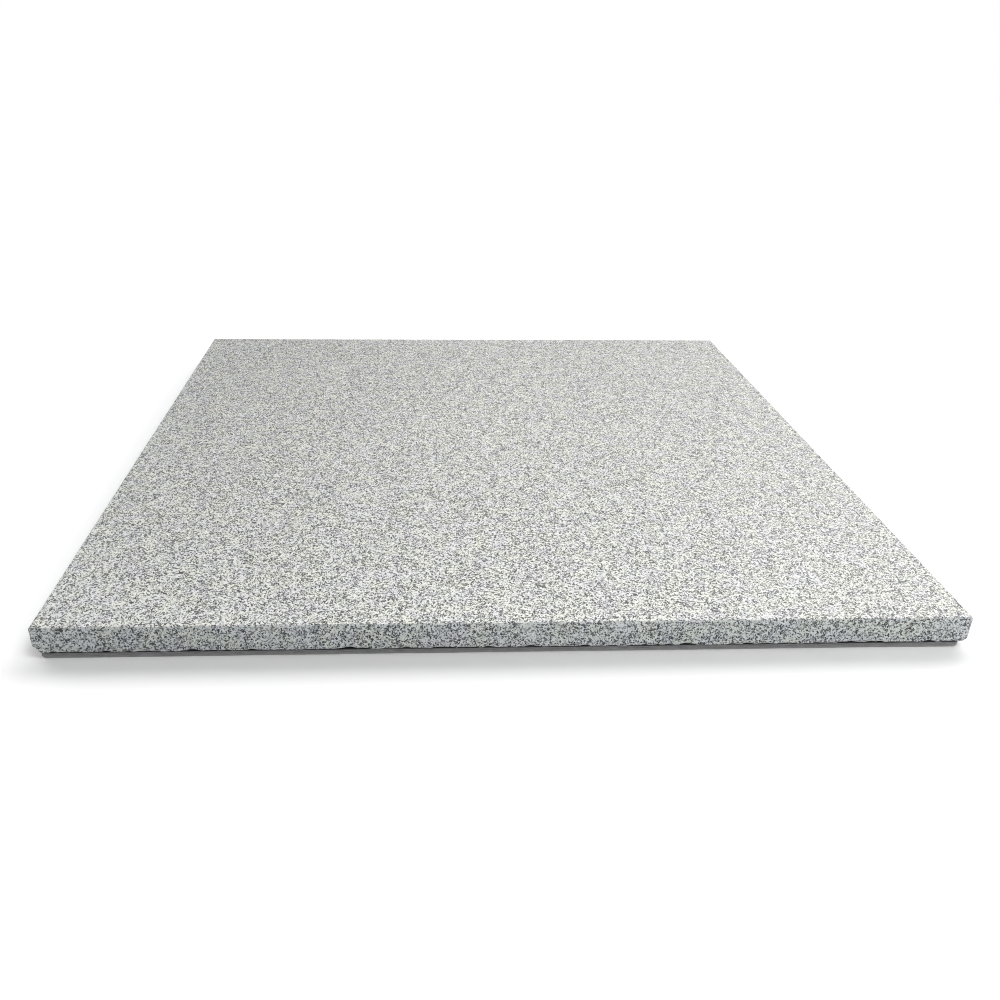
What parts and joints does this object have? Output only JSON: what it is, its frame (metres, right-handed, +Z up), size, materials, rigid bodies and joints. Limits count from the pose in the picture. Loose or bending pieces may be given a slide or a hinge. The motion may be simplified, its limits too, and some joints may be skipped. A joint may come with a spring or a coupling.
{
  "type": "granite slab",
  "caption": "Square granite slab with sawn edges on a thin rubber backing sheet, a flat hard surface for punching, stamping and skiving leather.",
  "frame": {"origin": "on the surface that the slab stands on, below the middle of the stone", "axes": "+Z is up, out of the working face; -Y is the front; X and Y are along the stone's square edges"},
  "size_m": [0.305, 0.305, 0.0122],
  "materials": {
    "granite": "matte",
    "adhesive": "satin",
    "backing_rubber": "matte"
  },
  "bodies": {
    "root": {"granite_slab": "granite", "adhesive_film": "adhesive", "nonslip_backing_pad": "backing_rubber"}
  },
  "joints": []
}
